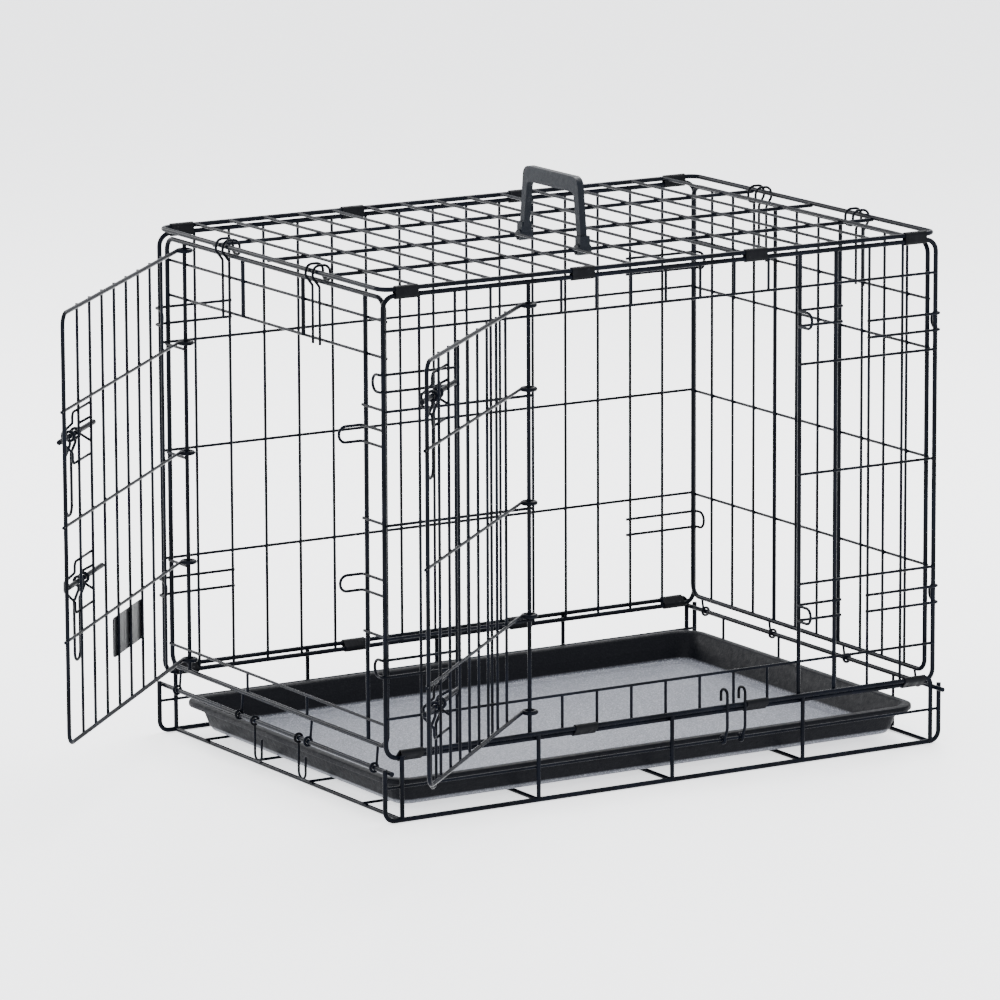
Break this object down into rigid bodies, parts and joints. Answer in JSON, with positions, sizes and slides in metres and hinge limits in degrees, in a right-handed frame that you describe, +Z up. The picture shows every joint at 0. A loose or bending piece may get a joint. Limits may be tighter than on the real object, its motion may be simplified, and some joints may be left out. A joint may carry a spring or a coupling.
{
  "type": "wire dog crate",
  "caption": "Folding black wire dog crate with two hinged doors on slide bolts, a wire base, a slide-out pan and a carry handle.",
  "frame": {"origin": "on the floor, at the middle of the crate's length and width with both doors left out", "axes": "+X from the end with the end door to the plain end, +Y from the front with the side door to the back, +Z up"},
  "size_m": [0.8815, 0.6438, 0.5638],
  "materials": {
    "black_coated_wire": "semi-gloss",
    "coated_sheet": "semi-gloss",
    "plate": "satin",
    "pan_plastic": "fine grain",
    "handle_plastic": "satin"
  },
  "bodies": {
    "crate": {"base_frame": "black_coated_wire", "front_panel": "black_coated_wire", "back_panel": "black_coated_wire", "top_panel": "black_coated_wire", "left_end_panel": "black_coated_wire", "front_corner_loops": "black_coated_wire", "back_corner_loops": "black_coated_wire", "end_door_keepers": "black_coated_wire", "side_door_keepers": "black_coated_wire", "left_end_top_hooks": "black_coated_wire", "left_end_hinge_eyes": "black_coated_wire", "front_top_clips": "coated_sheet", "back_top_clips": "coated_sheet", "front_bottom_clips": "coated_sheet", "back_bottom_clips": "coated_sheet", "carry_handle": "handle_plastic"},
    "right_end": {"right_end_panel": "black_coated_wire", "right_end_top_hooks": "black_coated_wire", "right_end_hinge_eyes": "black_coated_wire"},
    "end_door": {"end_door": "black_coated_wire", "end_door_bolt_guides": "black_coated_wire", "end_door_name_plate": "plate"},
    "side_door": {"side_door": "black_coated_wire", "side_door_bolt_guides": "black_coated_wire"},
    "pan": {"floor_pan": "pan_plastic"},
    "back_floor_hook": {"floor_hook_back": "black_coated_wire"},
    "front_floor_hook": {"floor_hook_front": "black_coated_wire"},
    "fold_hook": {"front_hook_left": "black_coated_wire", "front_hook_right": "black_coated_wire"},
    "end_door_upper_bolt": {"end_door_upper_bolt": "black_coated_wire"},
    "end_door_upper_bolt_handle": {"end_door_upper_bolt_handle": "black_coated_wire"},
    "end_door_lower_bolt": {"end_door_lower_bolt": "black_coated_wire"},
    "end_door_lower_bolt_handle": {"end_door_lower_bolt_handle": "black_coated_wire"},
    "side_door_upper_bolt": {"side_door_upper_bolt": "black_coated_wire"},
    "side_door_upper_bolt_handle": {"side_door_upper_bolt_handle": "black_coated_wire"},
    "side_door_lower_bolt": {"side_door_lower_bolt": "black_coated_wire"},
    "side_door_lower_bolt_handle": {"side_door_lower_bolt_handle": "black_coated_wire"}
  },
  "joints": [
    {"name": "end_door_swing", "type": "hinge", "parent": "crate", "child": "end_door", "pos_m": [-0.3, 0.17145, 0], "axis": [0, 0, 1], "range_deg": [-95, 45.3]},
    {"name": "side_door_swing", "type": "hinge", "parent": "crate", "child": "side_door", "pos_m": [-0.15, -0.2122, 0], "axis": [0, 0, 1], "range_deg": [-20, 137.2]},
    {"name": "end_door_upper_bolt_slide", "type": "slide", "parent": "end_door", "child": "end_door_upper_bolt", "axis": [-0.7108, -0.7034, 0], "range_m": [-0.019, 0.006]},
    {"name": "end_door_upper_bolt_handle_lift", "type": "hinge", "parent": "end_door_upper_bolt", "child": "end_door_upper_bolt_handle", "pos_m": [-0.53074, -0.03325, 0.359], "axis": [0.7108, 0.7034, 0], "range_deg": [-3, 90]},
    {"name": "end_door_lower_bolt_slide", "type": "slide", "parent": "end_door", "child": "end_door_lower_bolt", "axis": [-0.7108, -0.7034, 0], "range_m": [0, 0.025]},
    {"name": "end_door_lower_bolt_handle_lift", "type": "hinge", "parent": "end_door_lower_bolt", "child": "end_door_lower_bolt_handle", "pos_m": [-0.51724, -0.01989, 0.2195], "axis": [0.7108, 0.7034, 0], "range_deg": [-3, 90]},
    {"name": "side_door_upper_bolt_slide", "type": "slide", "parent": "side_door", "child": "side_door_upper_bolt", "axis": [-0.7337, -0.6794, 0], "range_m": [-0.0035, 0.0155]},
    {"name": "side_door_upper_bolt_handle_lift", "type": "hinge", "parent": "side_door_upper_bolt", "child": "side_door_upper_bolt_handle", "pos_m": [-0.34265, -0.36769, 0.43], "axis": [0.7337, 0.6794, 0], "range_deg": [-3, 90]},
    {"name": "side_door_lower_bolt_slide", "type": "slide", "parent": "side_door", "child": "side_door_lower_bolt", "axis": [-0.7337, -0.6794, 0], "range_m": [0, 0.019]},
    {"name": "side_door_lower_bolt_handle_lift", "type": "hinge", "parent": "side_door_lower_bolt", "child": "side_door_lower_bolt_handle", "pos_m": [-0.34008, -0.36532, 0.146], "axis": [0.7337, 0.6794, 0], "range_deg": [-3, 90]},
    {"name": "pan_slide", "type": "slide", "parent": "crate", "child": "pan", "axis": [-1, 0, 0], "range_m": [0, 0.45], "deforming": ["floor_hook_back", "floor_hook_front"]},
    {"name": "back_floor_hook_swing", "type": "hinge", "parent": "crate", "child": "back_floor_hook", "pos_m": [-0.30445, 0.036, 0.048], "axis": [0, 1, 0], "range_deg": [-8, 85]},
    {"name": "front_floor_hook_swing", "type": "hinge", "parent": "crate", "child": "front_floor_hook", "pos_m": [-0.30445, -0.048, 0.048], "axis": [0, 1, 0], "range_deg": [-8, 85]},
    {"name": "fold_hook_swing", "type": "hinge", "parent": "crate", "child": "fold_hook", "pos_m": [0.0735, -0.2141, 0.033], "axis": [1, 0, 0], "range_deg": [0, 110]},
    {"name": "right_end_fold", "type": "hinge", "parent": "crate", "child": "right_end", "pos_m": [0.30445, 0, 0.055], "axis": [0, -1, 0], "range_deg": [0, 88], "deforming": ["right_end_top_hooks"]}
  ]
}
